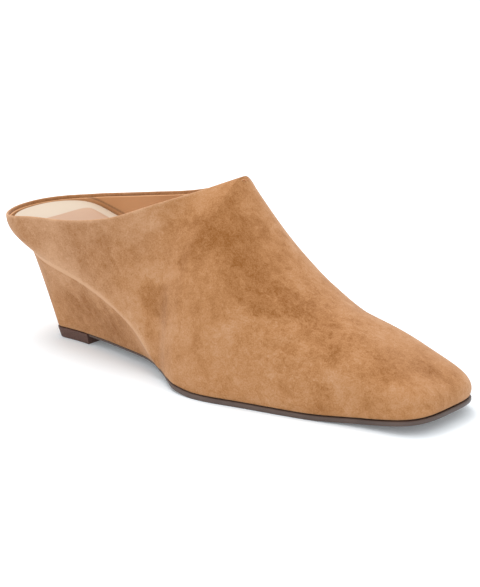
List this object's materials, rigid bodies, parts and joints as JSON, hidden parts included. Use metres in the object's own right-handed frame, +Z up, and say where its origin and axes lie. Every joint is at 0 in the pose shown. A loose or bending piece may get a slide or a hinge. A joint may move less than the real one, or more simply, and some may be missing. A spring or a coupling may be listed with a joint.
{
  "type": "wedge mule",
  "caption": "Right-foot backless wedge mule: hollow upper with peaked throat and soft-squared toe, low rim round the heel, covered wedge, thin outsole and heel lift.",
  "frame": {"origin": "on the floor, under the middle of the shoe's outline", "axes": "+X to the toe, +Y to the inner (medial) side, +Z up"},
  "size_m": [0.2524, 0.08, 0.0915],
  "materials": {
    "suede": "tan suede with a soft nap",
    "cream_leather": "smooth, satin",
    "tan_leather": "smooth, matt",
    "brown_rubber": "matt"
  },
  "bodies": {
    "root": {"upper": "suede", "wedge": "suede", "insole": "tan_leather", "sock": "cream_leather", "heel_pad": "tan_leather", "outsole": "brown_rubber", "top_lift": "brown_rubber"}
  },
  "joints": []
}
